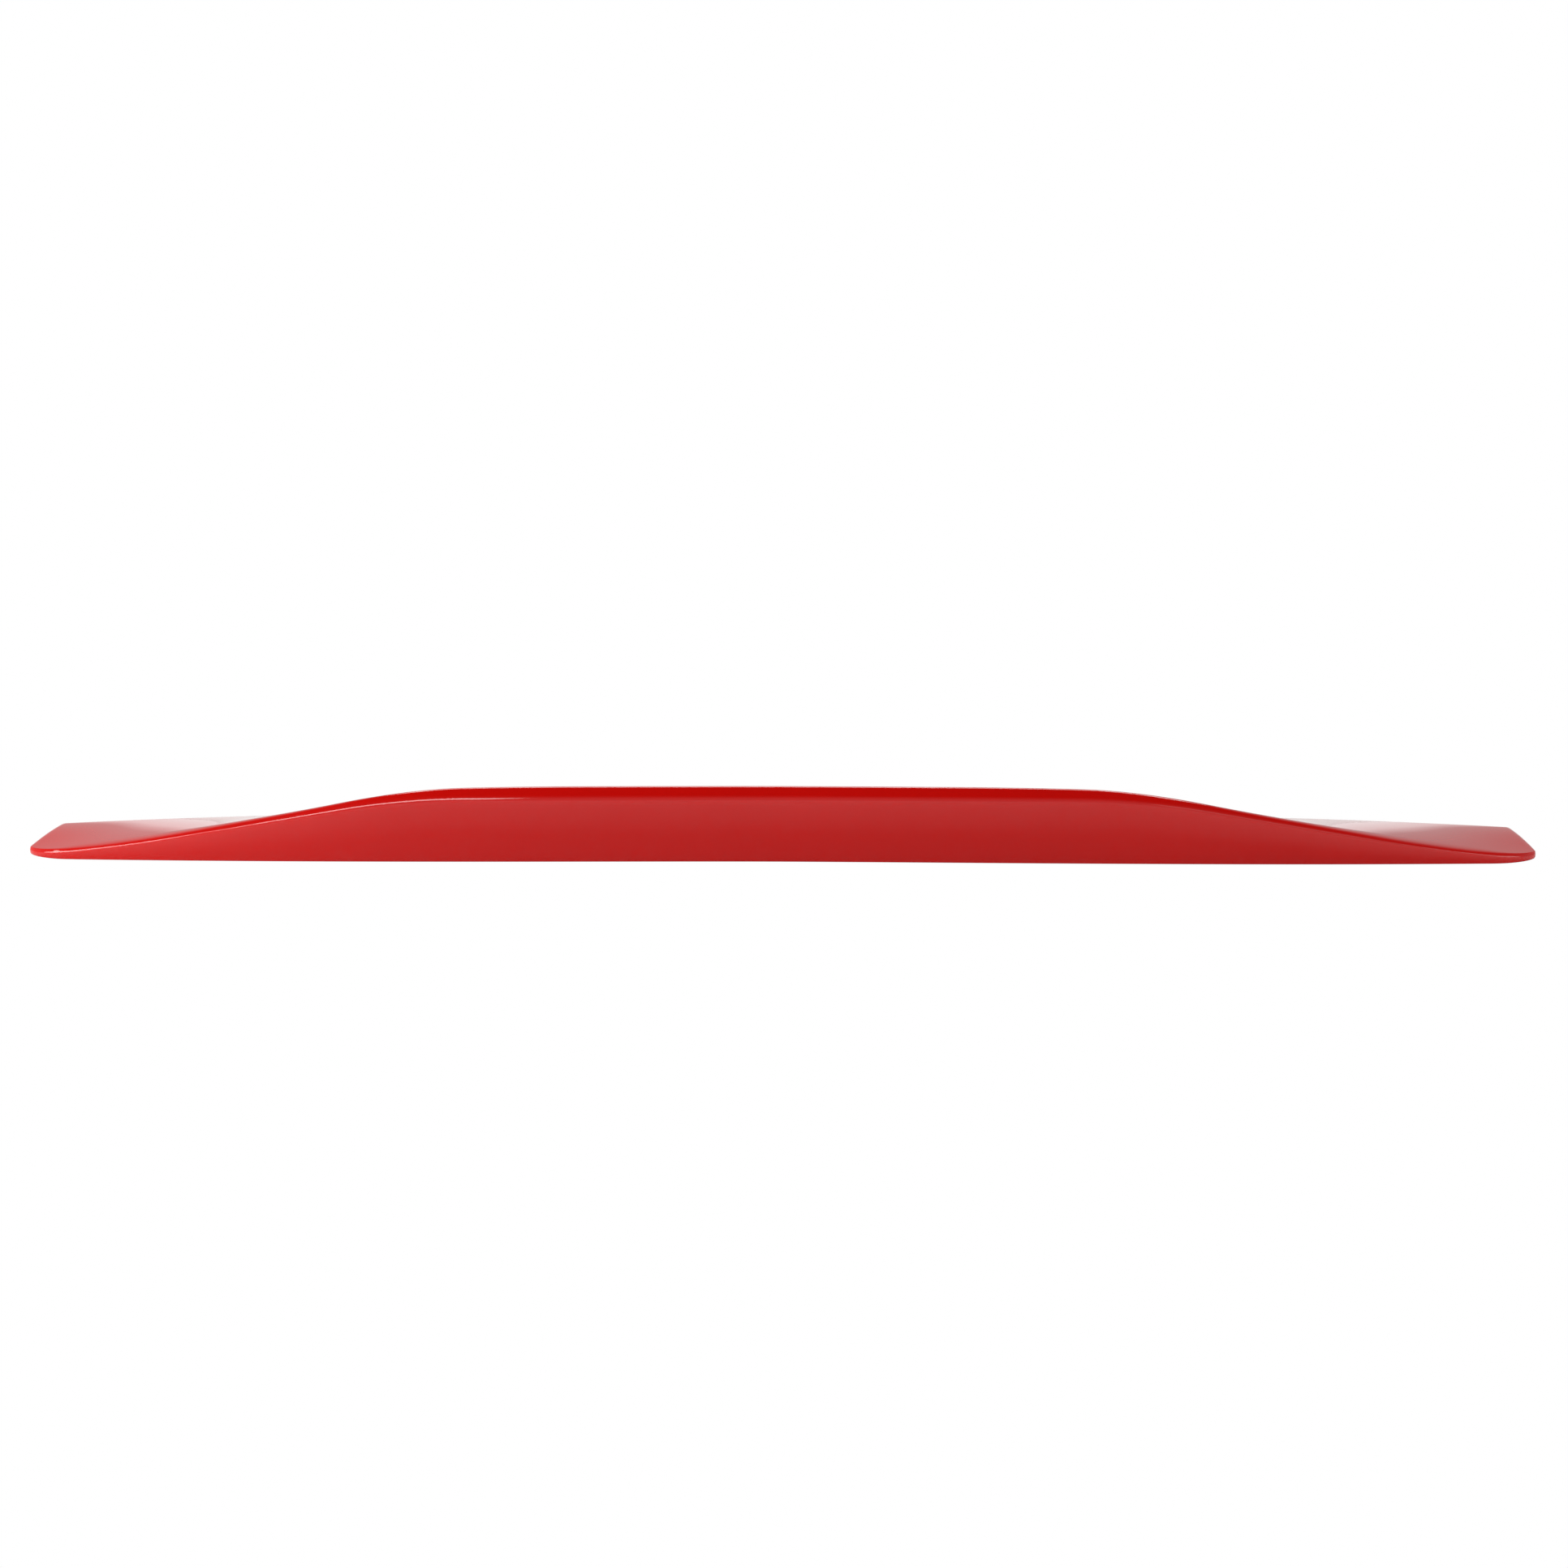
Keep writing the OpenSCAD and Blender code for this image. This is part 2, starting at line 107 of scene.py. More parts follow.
world = bpy.data.worlds.new("studio")
bpy.context.scene.world = world
world.use_nodes = True
sky = world.node_tree
sky.nodes.clear()
direction = add(sky, "ShaderNodeTexCoord")
height = add(sky, "ShaderNodeSeparateXYZ", {0: direction.outputs["Generated"]})
band = add(sky, "ShaderNodeValToRGB", {0: height.outputs["Z"]})
shape_ramp(band, [(0.0, 1.0), (0.085, 1.0), (0.16, 0.55), (0.45, 0.5), (0.7, 0.2), (0.88, 0.03)])
glow = add(sky, "ShaderNodeBackground", {"Color": band.outputs["Color"], "Strength": 0.95})
white = add(sky, "ShaderNodeBackground", {"Color": linear("ffffff"), "Strength": 1.0})
seen = add(sky, "ShaderNodeLightPath")
shown = add(sky, "ShaderNodeMixShader", {
    0: seen.outputs["Is Camera Ray"], 1: glow.outputs[0], 2: white.outputs[0]})
add(sky, "ShaderNodeOutputWorld", {"Surface": shown.outputs[0]})


def soft_box(name, place, target, width, height, power, colour="ffffff"):
    """A rectangular area light at place, facing target."""
    light = bpy.data.lights.new(name, "AREA")
    light.shape = "RECTANGLE"
    light.size = width
    light.size_y = height
    light.energy = power
    light.color = linear(colour)[:3]
    lamp = bpy.data.objects.new(name, light)
    bpy.context.scene.collection.objects.link(lamp)
    lamp.location = place
    lamp.rotation_euler = (Vector(target) - Vector(place)).to_track_quat("-Z", "Y").to_euler()
    return lamp


soft_box("left_box", (-2.0, -2.8, 2.0), (-0.2, 0, 0), 2.2, 0.8, 42)
soft_box("right_box", (2.4, -2.8, 2.0), (0.2, 0, 0), 1.6, 0.7, 3)
soft_box("front_box", (0, 1.4, 2.3), (0, -0.1, 0), 2.4, 1.2, 44)
soft_box("left_low_box", (-1.25, -0.35, 0.4), (-0.6, -0.14, 0), 0.5, 0.4, 5)
soft_box("right_low_box", (1.35, -0.45, 0.4), (0.6, -0.14, 0), 0.5, 0.4, 1.5)

stud_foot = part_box("mounting_studs")[0].z
floor_mesh = bpy.data.meshes.new("floor")
FLOOR_RADIUS, FLOOR_SIDES = 12, 64
turns = [2 * math.pi * i / FLOOR_SIDES for i in range(FLOOR_SIDES)]
rim = [(FLOOR_RADIUS * math.cos(t), FLOOR_RADIUS * math.sin(t), 0) for t in turns]
floor_mesh.from_pydata(rim, [], [list(range(FLOOR_SIDES))])
floor = bpy.data.objects.new("floor", floor_mesh)
bpy.context.scene.collection.objects.link(floor)
floor.location.z = stud_foot - 0.0002
# Matt white paper: it lights the spoiler from below and shows in its gloss. It fades out some
# metres away, and to the camera it is clear, so that the spoiler stands out on plain white.
paper = bpy.data.materials.new("matt_white_paper")
paper.use_nodes = True
tree = paper.node_tree
tree.nodes.clear()
spot = add(tree, "ShaderNodeTexCoord")
reach = add(tree, "ShaderNodeVectorMath", {0: spot.outputs["Object"]}, operation="LENGTH")
fade = add(tree, "ShaderNodeMapRange", {
    "Value": reach.outputs["Value"], "From Min": 0.8, "From Max": 3.2},
    interpolation_type="SMOOTHSTEP")
ray = add(tree, "ShaderNodeLightPath")
unseen = add(tree, "ShaderNodeMath", {
    0: fade.outputs["Result"], 1: ray.outputs["Is Camera Ray"]}, operation="MAXIMUM")
matt = add(tree, "ShaderNodeBsdfDiffuse", {"Color": linear("f2f2f1")})
clear = add(tree, "ShaderNodeBsdfTransparent")
faded = add(tree, "ShaderNodeMixShader", {
    0: unseen.outputs["Value"], 1: matt.outputs[0], 2: clear.outputs[0]})
add(tree, "ShaderNodeOutputMaterial", {"Surface": faded.outputs[0]})
floor_mesh.materials.append(paper)


# ---- Skin ----
# The outer shell: 3 mm ABS sheet, formed over a tool and routed to shape, then primed, painted
# in solid red and clear coated. It is bonded to the base panel along its rear and front edges.

MM = 0.001
cad_low, cad_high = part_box("outer_skin")
HALF = (cad_high.x - cad_low.x) / 2 / MM
DEPTH, SWEEP, CROWN, STUD_ROW = 163, 69, 8.5, 92
RAMP_BEND, TIP_BEND_AT, TIP_BEND, TIP_CUT, TIP_CUT_BACK = 54, 600, 111, 11, 68
REAR_HEIGHT, LEAN, RAMP_START, RAMP_FALL = 52, 18, 295, 0.17
LIP_MIDDLE, LIP_END, CORNER_WIDTH, CORNER_DEPTH = 11, 3, 38, 18
SKIN, EDGE, LAND = 3, 3.5, 1.5
WALL = 1.06 * SKIN
FIRST_STUD, SEAT_LIFT = 130, 1.7


def ease(a, b, x):
    """Smooth step from 0 at a to 1 at b."""
    t = min(1, max(0, (x - a) / (b - a)))
    return t * t * (3 - 2 * t)


def bend(t, w):
    """Rises smoothly from 0 to the line t over the stretch from -w to w."""
    return 0 if t < -w else t if t > w else (t + w) ** 2 / (4 * w)


def curl(x):
    """Forward shift of the rear edge round a rear corner."""
    t = min(1, max(0, (abs(x) - HALF + CORNER_WIDTH) / CORNER_WIDTH))
    return CORNER_DEPTH * (1 - math.sqrt(1 - t * t))


def lid_rise(s):
    """Rise of the boot lid at a distance s forward of the rear edge."""
    return 0.2 * s - 0.0005 * s * s


def rear_y(x):
    return SWEEP * (abs(x) / HALF) ** 2.5 - STUD_ROW


def edge_drop(x):
    return -CROWN * (abs(x) / HALF) ** 1.7


def rear_z(x):
    return edge_drop(x) - edge_drop(FIRST_STUD) - lid_rise(-rear_y(FIRST_STUD)) - SEAT_LIFT


def lid_z(x, y):
    return rear_z(x) + lid_rise(y - rear_y(x))


def front_y(x):
    """The front edge: straight, then cut back obliquely over the last few millimetres."""
    t = max(0, (abs(x) - HALF + TIP_CUT) / TIP_CUT)
    return DEPTH - STUD_ROW - TIP_CUT_BACK * min(1, t) ** 1.3


def rear_top(x):
    """Height of the rear face: level in the middle, falling along a ramp to each tip."""
    ramp = bend(abs(x) - RAMP_START, RAMP_BEND) - bend(abs(x) - TIP_BEND_AT, TIP_BEND)
    return REAR_HEIGHT - RAMP_FALL * ramp + 0.8 * lid_rise(curl(x))


def lip(x):
    return LIP_END + (LIP_MIDDLE - LIP_END) * (1 - ease(150, 600, abs(x)))


def fullness(x):
    return min(1, rear_top(x) / REAR_HEIGHT)


def foot(x):
    y = rear_y(x) + curl(x)
    return Vector((y, lid_z(x, y)))


def crease(x):
    return Vector((rear_y(x) + curl(x) - LEAN * fullness(x), rear_z(x) + rear_top(x)))


def crest(x):
    return crease(x) + lip(x) * Vector((0.75, 1))


def rear_lean(x):
    return (foot(x).x - crease(x).x) / (crease(x).y - foot(x).y)


def top_z(x, y):
    """Height of the top surface: one cubic from the crest to the front edge."""
    start = crest(x)
    length = front_y(x) - start.x
    t = min(1, max(0, (y - start.x) / length))
    end_z = lid_z(x, front_y(x)) + EDGE
    first_slope = 0.12 - 0.5 * ease(0.2, 1, fullness(x))
    last_slope = 0.11 * ease(300, 430, abs(x)) * (1 - 0.8 * ease(470, 610, abs(x))) - 0.03
    return (start.y * (1 + 2 * t) * (1 - t) ** 2 + end_z * t * t * (3 - 2 * t)
            + first_slope * length * t * (1 - t) ** 2 + last_slope * length * t * t * (1 - t))


def recess(x):
    return LAND * (1 - ease(606, 613, abs(x)))


def under_z(x, y):
    """Height of the skin's underside, which rests on the tape land near the front edge."""
    return max(lid_z(x, y) + recess(x), top_z(x, y) - WALL)


def rounded(before, corner, after, reach, steps, far=0):
    """Points round a corner, from reach before it to reach, or far, after it."""
    back = (before - corner).normalized() * reach
    on = (after - corner).normalized() * max(reach, far)
    return [corner + back * (1 - i / steps) ** 2 + on * (i / steps) ** 2 for i in range(steps + 1)]


def between(a, b, steps):
    """Evenly spaced values from a to b."""
    return [a + (b - a) * i / steps for i in range(steps + 1)]


def skin_ring(x):
    """The skin's section at x, as (y, z) points: foot, rear face, lip, top, front hem, inside."""
    base, fold, peak, front = foot(x), crease(x), crest(x), front_y(x)
    length = front - peak.x
    lift = 0.8 * (1 - ease(590, 604, abs(x)))
    hem = Vector((front, lid_z(x, front) + lift))
    hem_y = front - min(5, 0.3 * length)
    soft = ease(250, 400, abs(x)) * (1 - ease(560, 605, abs(x)))
    peak_reach = lip(x) * (0.35 + 0.35 * soft)
    top_start, top_end = peak.x + min(6 + 8 * soft, 0.3 * length), front - min(4, 0.25 * length)
    rise = lid_z(x, base.x + WALL) - base.y
    inner_foot = Vector((base.x + WALL - rear_lean(x) * rise, base.y + rise))
    solid = ease(604, 613, abs(x))
    inner_fold = Vector((fold.x + WALL + rear_lean(x),
                         max(fold.y - 1, lid_z(x, fold.x + WALL) + recess(x))))
    inner_fold = inner_fold.lerp(inner_foot + Vector((0.5, 0.1)), solid)
    inner_end = (peak.x + 5) * (1 - solid) + (inner_foot.x + 1) * solid
    spread = [0.5 - 0.5 * math.cos(math.pi * i / 44) for i in range(45)]
    top_y = [top_start + (top_end - top_start) * s for s in spread]
    round_foot = rounded(inner_foot, base, fold, 1.2, 6)
    round_fold = rounded(base, fold, peak, 0.45 * lip(x), 14)
    round_peak = rounded(fold, peak, Vector((top_start, top_z(x, top_start))), peak_reach, 12,
                         peak_reach + 9 * soft)
    edge = Vector((front, top_z(x, front)))
    round_edge = rounded(Vector((top_end, top_z(x, top_end))), edge, hem, 1.4, 8)
    outside = (round_foot
               + [round_foot[-1].lerp(round_fold[0], i / 12) for i in range(1, 12)] + round_fold
               + [round_fold[-1].lerp(round_peak[0], 0.5)] + round_peak
               + [Vector((y, top_z(x, y))) for y in top_y] + round_edge
               + [hem, Vector((hem_y, lid_z(x, hem_y) + lift))])
    inside = [Vector((y, under_z(x, y) * (1 - solid) + lid_z(x, y) * solid))
              for y in between(hem_y - 0.5 * solid, inner_end, 24)]
    inside += [inner_fold.lerp(inner_foot, i / 8) for i in range(9)]
    return outside, inside


def loft(name, rings, smooth_angle=35):
    """A closed smooth-shaded mesh through rings of (x, y, z) points in millimetres."""
    count = len(rings[0])
    verts = [Vector(p) * MM for r in rings for p in r]
    faces = [[i * count + (j + 1) % count, i * count + j,
              (i + 1) * count + j, (i + 1) * count + (j + 1) % count]
             for i in range(len(rings) - 1) for j in range(count)]
    faces += [list(range(count)), [len(verts) - 1 - j for j in range(count)]]
    mesh = bpy.data.meshes.new(name)
    mesh.from_pydata(verts, [], faces)
    return finish_mesh(name, mesh, smooth_angle)


def finish_mesh(name, mesh, smooth_angle=35):
    """Points the faces outward, shades them smooth up to an angle, and adds the piece."""
    work = bmesh.new()
    work.from_mesh(mesh)
    bmesh.ops.recalc_face_normals(work, faces=work.faces)
    work.to_mesh(mesh)
    work.free()
    mesh.shade_smooth()
    mesh.set_sharp_from_angle(angle=math.radians(smooth_angle))
    piece = bpy.data.objects.new(name, mesh)
    bpy.context.scene.collection.objects.link(piece)
    return piece


def stations(start, end, step, close=()):
    """x positions from start to end about step apart, with the close ones added."""
    xs = between(start, end, max(1, round((end - start) / step)))
    return sorted(set(round(x, 4) for x in xs + list(close) if start <= x <= end))


TIP_ROUND = 1.6
corner_xs = [HALF - CORNER_WIDTH + (CORNER_WIDTH - TIP_ROUND) * math.sin(math.pi / 2 * i / 22)
             for i in range(23)]
half_xs = stations(0, HALF - CORNER_WIDTH, 6) + corner_xs[1:]
skin_rings = []
for x in [-x for x in reversed(half_xs[1:])] + half_xs:
    outside, inside = skin_ring(x)
    skin_rings.append([(x, p.x, p.y) for p in outside + inside])
painted = len(outside)


def tip_rings(side):
    """The last rings, which draw in round the middle of the tip so that its edges are rounded."""
    found = []
    for i in range(1, 9):
        turn = math.pi / 2 * i / 8
        x = side * (HALF - TIP_ROUND + TIP_ROUND * math.sin(turn))
        outside, inside = skin_ring(x)
        section = outside + inside
        low = Vector((min(p.x for p in section), min(p.y for p in section)))
        high = Vector((max(p.x for p in section), max(p.y for p in section)))
        middle = (low + high) / 2
        inset = TIP_ROUND * (1 - math.cos(turn))
        shrink = Vector((1 - 2 * inset / (high.x - low.x), 1 - 2 * inset / (high.y - low.y)))
        found.append([(x, middle.x + (p.x - middle.x) * shrink.x,
                       middle.y + (p.y - middle.y) * shrink.y) for p in section])
    return found


skin = loft("skin", tip_rings(-1)[::-1] + skin_rings + tip_rings(1), 40)


def begin(name):
    """A new material with an empty node tree, and its object coordinates in metres."""
    material = bpy.data.materials.new(name)
    material.use_nodes = True
    material.node_tree.nodes.clear()
    return material, material.node_tree, add(
        material.node_tree, "ShaderNodeTexCoord").outputs["Object"]


def finish(tree, surface):
    add(tree, "ShaderNodeOutputMaterial", {"Surface": surface.outputs[0]})


# Solid red base coat under clear coat: deep even colour, sharp reflections that ripple very
# slightly with orange peel. A real ripple is 1 to 2 mm; this one is 4.5 mm, so that it shows.
red, tree, place = begin("red_basecoat_clearcoat")
peel = add(tree, "ShaderNodeTexNoise", {
    "Vector": place, "Scale": 1 / (4.5 * MM), "Detail": 1.5, "Roughness": 0.4})
ripple = add(tree, "ShaderNodeBump", {
    "Height": peel.outputs["Fac"], "Strength": 0.03, "Distance": 0.0004})
film = add(tree, "ShaderNodeTexNoise", {
    "Vector": place, "Scale": 1 / (220 * MM), "Detail": 2.0, "Roughness": 0.5})
depth_of_colour = add(tree, "ShaderNodeValToRGB", {0: film.outputs["Fac"]})
shape_ramp(depth_of_colour, [(0.3, linear("c80a05")), (0.7, linear("cc0b06"))])
coat = add(tree, "ShaderNodeBsdfPrincipled", {
    "Base Color": depth_of_colour.outputs["Color"], "Roughness": 0.55,
    "Specular IOR Level": 0.0, "Coat Weight": 1.0, "Coat Roughness": 0.035, "Coat IOR": 1.52,
    "Coat Normal": ripple.outputs["Normal"]})
finish(tree, coat)

NOISE = "ShaderNodeTexNoise", "Fac"
CELLS = "ShaderNodeTexVoronoi", "Distance"
LINES = "ShaderNodeTexWave", "Fac"


def patterned(name, pattern, size, colours, relief, roughness, shader=None, **settings):
    """A material whose colour and relief follow one pattern. size and relief are in mm."""
    material, tree, place = begin(name)
    kind, output = pattern
    texture = add(tree, kind, {"Vector": place, "Scale": 1 / (size * MM)}, **settings)
    tint = add(tree, "ShaderNodeValToRGB", {0: texture.outputs[output]})
    shape_ramp(tint, [(0.3, linear(colours[0])), (0.7, linear(colours[1]))])
    bump = add(tree, "ShaderNodeBump", {
        "Height": texture.outputs[output], "Strength": 0.5, "Distance": relief * MM})
    surface = add(tree, "ShaderNodeBsdfPrincipled", {
        "Base Color": tint.outputs["Color"], "Roughness": roughness,
        "Normal": bump.outputs["Normal"], **(shader or {})})
    finish(tree, surface)
    return material


# Bare ABS sheet: the unpainted inside of the skin, satin off-white with a faint haze grain.
bare = patterned("bare_abs_sheet", NOISE, 1.5, ("cfcabb", "d8d3c6"), 0.05, 0.48, {"IOR": 1.53})

skin.data.materials.append(red)
skin.data.materials.append(bare)
ring_size = len(skin_rings[0])
for polygon in skin.data.polygons[:-2]:
    along = polygon.index % ring_size
    polygon.material_index = 1 if painted - 1 <= along < ring_size - 1 else 0
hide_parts("outer_skin")
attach(skin, "root")


# ---- Base panel ----
# The underside: 2.5 mm black ABS, formed to the boot lid with an upstand along its rear. Round
# holes let the bosses, screws and drain plugs through. It is bonded and screwed to the skin.

PANEL, UPSTAND, BEAD, PANEL_END, FRONT_ROOM, GAP = 2.5, 14, 1, 578, 24, 0.08
BOSS_RADIUS, PIN_BOSS_RADIUS, DRAIN_RADIUS, SCREW_RADIUS = 10, 8, 4, 2
STUD_X, PIN_X, SCREW_X = (130, 275, 415), (480,), (60, 205, 345)
SCREW_BACK, DRAIN_X, DRAIN_FORWARD = 26, 225, 34


def closing_y(x, height, start, end):
    """The y between start and end where the room under the skin has closed to height."""
    for _ in range(20):
        middle = (start + end) / 2
        if under_z(x, middle) - lid_z(x, middle) > height:
            start = middle
        else:
            end = middle
    return start


def panel_front(x):
    return closing_y(x, LAND + PANEL + BEAD, rear_y(x) + 20, front_y(x) - FRONT_ROOM)


def softened(points, reach=0.2, steps=3, closed=False):
    """The outline with each of its corners rounded."""
    found = []
    for i, point in enumerate(points):
        if closed or 0 < i < len(points) - 1:
            before, after = points[i - 1], points[(i + 1) % len(points)]
            most = 0.45 * min((before - point).length, (after - point).length)
            found += rounded(before, point, after, min(reach, most), steps)
        else:
            found.append(point)
    return found


def panel_ring(x):
    """The panel's section at x, as (y, z) points: upstand, upper face, front edge, land."""
    height, front = min(UPSTAND, rear_top(x) - 2.5), panel_front(x)

    def back(h):
        return rear_y(x) + WALL + BEAD - rear_lean(x) * h

    low, high = back(LAND), Vector((back(height), rear_z(x) + height))
    corner = back(LAND + PANEL) + PANEL
    upper = [Vector((y, lid_z(x, y) + LAND + PANEL)) for y in between(corner, front, 32)]
    lower = [Vector((y, lid_z(x, y) + LAND)) for y in between(front, low + 2, 32)]
    return softened([Vector((low, lid_z(x, low) + LAND)), high, high + Vector((PANEL, 0))]
                    + upper + lower, 0.6, 3, closed=True)


def lid_place(x, y, lift):
    """Where a piece that stands square on the boot lid goes."""
    tilt = math.atan(0.2 - 0.001 * (y - rear_y(x)))
    return (Matrix.Translation((x, y, lid_z(x, y))) @ Matrix.Rotation(tilt, 4, "X")
            @ Matrix.Translation((0, 0, lift)))


def seat_places(xs):
    return [Matrix.Translation((side * x, 0, lid_z(x, 0) + SEAT_LIFT))
            for x in xs for side in (-1, 1)]


def screw_places(lift):
    return [lid_place(side * x, panel_front(x) - SCREW_BACK, lift)
            for x in SCREW_X for side in (-1, 1)]


def drain_places(lift):
    return [lid_place(side * DRAIN_X, rear_y(DRAIN_X) + DRAIN_FORWARD, lift)
            for side in (-1, 1)]


def turned(name, profile, places, closed=False, sides=64):
    """A round piece at each of the places, from the (radius, height) points of its side."""
    verts, faces = [], []
    count = len(profile)
    for place in places:
        first = len(verts)
        for k in range(sides):
            turn = 2 * math.pi * k / sides
            verts += [place @ Vector((r * math.cos(turn), r * math.sin(turn), z)) * MM
                      for r, z in profile]
        for k in range(sides):
            a, b = first + k * count, first + (k + 1) % sides * count
            for i in range(count if closed else count - 1):
                j = (i + 1) % count
                faces.append([a + i, a + j, b + j, b + i])
    mesh = bpy.data.meshes.new(name)
    mesh.from_pydata(verts, [], faces)
    weld(mesh)
    return finish_mesh(name, mesh)


def weld(mesh):
    """Joins points that coincide, such as those on the axis of a round piece."""
    work = bmesh.new()
    work.from_mesh(mesh)
    bmesh.ops.remove_doubles(work, verts=work.verts, dist=1e-7)
    bmesh.ops.dissolve_degenerate(work, edges=work.edges, dist=1e-8)
    work.to_mesh(mesh)
    work.free()


def cut(piece, *tools):
    """Cuts the tools' shapes out of the piece, then removes the tools."""
    for tool in tools:
        carve = piece.modifiers.new("cut", "BOOLEAN")
        carve.operation = "DIFFERENCE"
        carve.solver = "EXACT"
        carve.object = tool
    depsgraph = bpy.context.evaluated_depsgraph_get()
    mesh = bpy.data.meshes.new_from_object(piece.evaluated_get(depsgraph))
    name = piece.name
    for used in (piece, *tools):
        bpy.data.objects.remove(used)
    return finish_mesh(name, mesh)


def drill(name, radius, places):
    """Rods that leave round holes square through the panel."""
    reach = 4 * PANEL
    return turned(name, [(0, -reach), (radius, -reach), (radius, reach), (0, reach)], places)


def fit(piece, node, material):
    """Gives a piece its material, and puts it in place of its CAD node."""
    piece.data.materials.clear()
    piece.data.materials.append(material)
    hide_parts(node)
    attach(piece, "root")


panel = loft("panel", [[(x, p.x, p.y) for p in panel_ring(x)]
                       for x in stations(-PANEL_END, PANEL_END, 6)])
panel = cut(panel, drill("boss_holes", BOSS_RADIUS + GAP, seat_places(STUD_X)),
            drill("pin_holes", PIN_BOSS_RADIUS + GAP, seat_places(PIN_X)),
            drill("screw_holes", SCREW_RADIUS + 0.2, screw_places(0)),
            drill("drain_holes", DRAIN_RADIUS + GAP, drain_places(0)))
# Textured black ABS: a fine leather-like grain from the tool, satin, slightly grey with use.
black_abs = patterned("textured_black_abs", NOISE, 0.7, ("141415", "1b1b1c"), 0.06, 0.5,
                      {"IOR": 1.53})
fit(panel, "base_panel", black_abs)


# ---- Inside ----
# Ribs, end blocks and screw blocks sawn from natural ABS and bonded in; the beads of dark
# adhesive that join the two shells; and the moulded bosses, with brass inserts for the studs.

def dress(material, *nodes):
    """Gives CAD nodes that stay in view a material."""
    for node in nodes:
        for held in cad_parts[node].material_slots:
            held.material = material


# Sawn ABS offcut: natural cream, with the fine lines a blade leaves.
dress(patterned("sawn_abs_offcut", LINES, 9.0, ("c4bea9", "d2ccb9"), 0.03, 0.6, {"IOR": 1.53}),
      "cross_ribs", "end_block_left", "end_block_right", "screw_blocks")
# Cured adhesive: charcoal, rubbery, lumpy where it was squeezed out.
dress(patterned("charcoal_adhesive", NOISE, 4.0, ("262624", "32322f"), 0.3, 0.4),
      "seam_bond_rear", "seam_bond_front")
# Glass-filled nylon: black, with a pale haze of fibres at the surface.
dress(patterned("glass_filled_nylon", NOISE, 0.4, ("161617", "2a2a2b"), 0.03, 0.55),
      "stud_bosses", "pin_bosses")
# Turned brass: yellow, with the lathe's fine rings.
dress(patterned("turned_brass", LINES, 2.0, ("b08d45", "c5a35a"), 0.01, 0.28,
                {"Metallic": 1.0}, bands_direction="Z"), "stud_inserts")


# ---- Fasteners ----
# Six M6 studs in brass inserts, six cross-recess screws that hold the panel, and two push-in
# nylon pins that place the spoiler on the lid. All face down.

STUD_FREE, STUD_RADIUS, PITCH, THREAD_DEPTH = 18, 3, 1, 0.61
CREST, FLANK, CHAMFER = 0.07, 0.34, 0.9  # half the crest and one flank, as parts of a pitch
SHANK_TOP, ROWS_PER_PITCH = 6.1, 10


def thread_radius(z, turn):
    """Radius of an M6 thread at a height and an angle, chamfered at its lower end."""
    phase = (z / PITCH - turn / (2 * math.pi)) % 1
    depth = min(1, max(0, (abs(phase - 0.5) - CREST) / FLANK))
    return min(STUD_RADIUS - THREAD_DEPTH * depth, STUD_RADIUS - CHAMFER + z + STUD_FREE)


def threaded(name, places, sides=36):
    """A stud at each of the places: a thread below the seat and a plain shank above it."""
    verts, faces = [], []
    rows = between(-STUD_FREE, -0.1, STUD_FREE * ROWS_PER_PITCH - 1)
    for place in places:
        first = len(verts)
        for z in rows + [SHANK_TOP]:
            for k in range(sides):
                turn = 2 * math.pi * k / sides
                r = thread_radius(z, turn) if z < -0.15 else STUD_RADIUS - 0.5
                verts.append(place @ Vector((r * math.cos(turn), r * math.sin(turn), z)) * MM)
        for i in range(len(rows)):
            for k in range(sides):
                a, b = first + i * sides, first + (i + 1) * sides
                faces.append([a + k, a + (k + 1) % sides, b + (k + 1) % sides, b + k])
        faces += [list(range(first, first + sides)), list(range(len(verts) - sides, len(verts)))]
    mesh = bpy.data.meshes.new(name)
    mesh.from_pydata(verts, [], faces)
    return finish_mesh(name, mesh, 50)


# Zinc plate: pale blue-grey metal, with the cloudy tone of a passivated thread.
zinc = patterned("zinc_plate", NOISE, 2.5, ("a9adb1", "c3c6c9"), 0.01, 0.3, {"Metallic": 1.0})
fit(threaded("studs", seat_places(STUD_X)), "mounting_studs", zinc)

HEAD_SINK = 0.1
SCREW_SIDE = ((0, 0.1), (1.2, 0.02), (3.0, 0.02), (3.9, 0.45), (3.9, 1.15), (2, 1.15), (2, 3.8),
              (1.5, 3.95), (1.5, 6.5), (0.3, 7.4), (0, 7.4))
screws = turned("screws", softened([Vector(p) for p in SCREW_SIDE], 0.3, 4),
                screw_places(HEAD_SINK))


RECESS_DEPTH, BLADE_LENGTH, BLADE_WIDTH, BLADE_TAPER = 0.85, 2.1, 0.38, 0.62


def blades(name, places, half_x, half_y):
    """A tapered blade at each place. Two sets of them leave a cross recess in each head."""
    verts, faces = [], []
    for place in places:
        first = len(verts)
        for z, shrink in ((-0.5, 1), (RECESS_DEPTH, BLADE_TAPER)):
            verts += [place @ Vector((u * half_x * shrink, v * half_y * shrink, z)) * MM
                      for u, v in ((-1, -1), (1, -1), (1, 1), (-1, 1))]
        faces += [[first + i for i in corners] for corners in (
            (0, 3, 2, 1), (4, 5, 6, 7), (0, 1, 5, 4), (1, 2, 6, 5), (2, 3, 7, 6), (3, 0, 4, 7))]
    mesh = bpy.data.meshes.new(name)
    mesh.from_pydata(verts, [], faces)
    return finish_mesh(name, mesh)


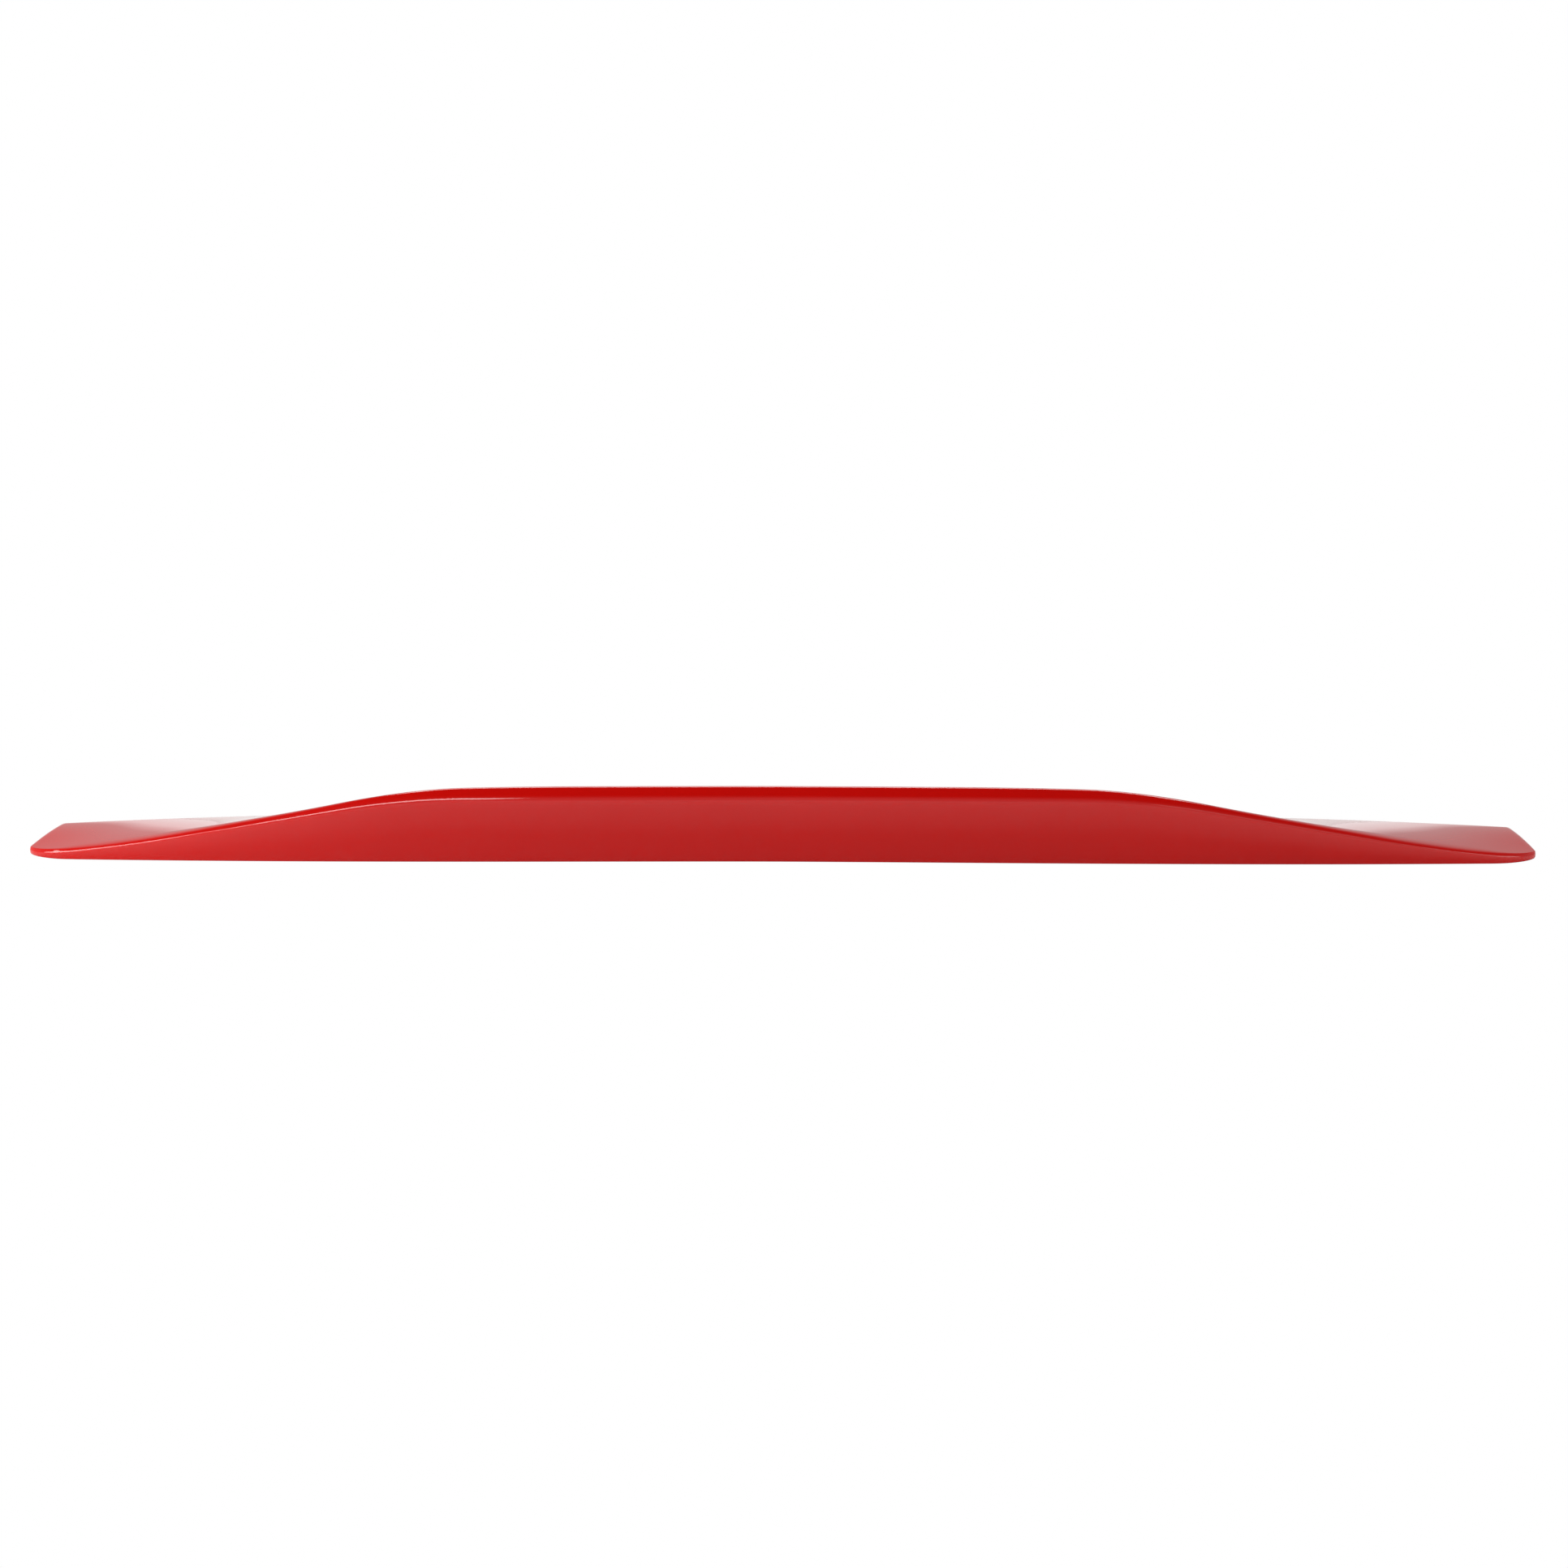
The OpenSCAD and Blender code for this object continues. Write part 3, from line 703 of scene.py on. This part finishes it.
screws = cut(screws, blades("wide_blades", screw_places(HEAD_SINK), BLADE_LENGTH, BLADE_WIDTH),
             blades("deep_blades", screw_places(HEAD_SINK), BLADE_WIDTH, BLADE_LENGTH))
fit(screws, "panel_screws", zinc)

PIN_SIDE = ((0, -9), (2, -9), (3.5, -6.5), (3.5, -1.52), (6.5, -1.52), (6.5, -0.02), (3, -0.02),
            (3, 3), (2.2, 3.9), (0, 3.9))
pins = turned("pins", softened([Vector(p) for p in PIN_SIDE], 0.35, 4), seat_places(PIN_X))
# Natural nylon: milky white, slightly translucent at its edges.
milky = patterned("natural_nylon", NOISE, 3.0, ("ddd9cc", "e6e3d8"), 0.01, 0.38,
                  {"Subsurface Weight": 0.2, "Subsurface Scale": 0.002})
fit(pins, "locating_pins", milky)


# ---- Gaskets, plugs and seal ----
# Foam rings that keep water out of the lid's stud holes, two push-in plugs that let water out
# of the hollow spoiler, and a thin rubber strip along the front edge.

RING_SIDE = ((5, -4.02), (10, -4.02), (10, -0.02), (5, -0.02))
gaskets = turned("gaskets", softened([Vector(p) for p in RING_SIDE], 0.4, 4, closed=True),
                 seat_places(STUD_X), closed=True)
# Closed-cell foam rubber: black, matt, pocked with cut cells about half a millimetre across.
foam_rubber = patterned("cellular_rubber", CELLS, 0.5, ("0f0f10", "1d1d1e"), 0.2, 0.85)
fit(gaskets, "stud_gaskets", foam_rubber)

PLUG_SIDE = ((2, 0.2), (6, 0.2), (6.5, 0.5), (6.5, 0.8), (4, 0.8), (4, 3.75), (4.6, 4), (3.6, 6),
             (2, 6))
plugs = turned("plugs", softened([Vector(p) for p in PLUG_SIDE], 0.3, 4, closed=True),
               drain_places(LAND - 1), closed=True)
# Solid rubber: black, soft sheen, with a bloom of dust.
rubber = patterned("moulded_rubber", NOISE, 1.2, ("161617", "202021"), 0.02, 0.6)
fit(plugs, "drain_plugs", rubber)

TAPE_IN, REAR_WIDTH, FRONT_WIDTH, END_REAR_IN, END_FRONT_IN = 8, 12, 14, 12, 26
SEAL_WIDTH, SEAL, SEAL_END = 4.5, 0.72, 588


def strip(name, edge, ends, low, high):
    """A strip that follows the boot lid between two x ends, from low to high above it."""
    def sides(x):
        if edge == "rear":
            return rear_y(x) + TAPE_IN, rear_y(x) + TAPE_IN + REAR_WIDTH
        if edge == "front":
            return front_y(x) - TAPE_IN - FRONT_WIDTH, front_y(x) - TAPE_IN
        if edge == "seal":
            return front_y(x) - SEAL_WIDTH, front_y(x)
        return rear_y(x) + END_REAR_IN, front_y(x) - END_FRONT_IN

    rings = []
    for x in stations(ends[0], ends[1], 4):
        near, far = sides(x)
        upper = [Vector((y, lid_z(x, y) + high)) for y in between(far, near, 12)]
        lower = [Vector((y, lid_z(x, y) + low)) for y in between(near, far, 12)]
        ring = softened(upper + lower, min(0.12, (high - low) / 3), 2, closed=True)
        rings.append([(x, p.x, p.y) for p in ring])
    return loft(name, rings, 40)


front_seal = strip("front_seal", "seal", (-SEAL_END, SEAL_END), 0, SEAL)
fit(front_seal, "front_edge_seal", rubber)


# ---- Tapes and liners ----
# Eight lengths of grey acrylic foam tape that bond the spoiler to the lid's paint, each still
# under the red film that is peeled off at fitting.

# Acrylic foam tape: dark grey, matt and faintly mottled, with fine cells on its cut edges.
foam = patterned("acrylic_foam_tape", CELLS, 0.35, ("45474a", "505254"), 0.05, 0.75)
# Release liner: glossy red film with long soft ripples.
film = patterned("red_release_film", NOISE, 18.0, ("b3201b", "bd2721"), 0.25, 0.22, {"IOR": 1.6})
TAPE, LINER = 1.1, 0.15
TAPE_TOP = LAND - GAP
LINER_TOP = LAND - 1.4 * GAP - TAPE
TAPE_ENDS = {
    "rear_left": (-560, -205), "rear_centre": (-195, 195), "rear_right": (205, 560),
    "front_left": (-580, -205), "front_centre": (-195, 195), "front_right": (205, 580),
    "end_left": (-599, -585), "end_right": (585, 599)}
for name, ends in TAPE_ENDS.items():
    edge = name.split("_")[0]
    tape = strip("foam_" + name, edge, ends, TAPE_TOP - TAPE, TAPE_TOP)
    fit(tape, "tape_" + name, foam)
    liner = strip("film_" + name, edge, ends, LINER_TOP - LINER, LINER_TOP)
    fit(liner, "liner_" + name, film)
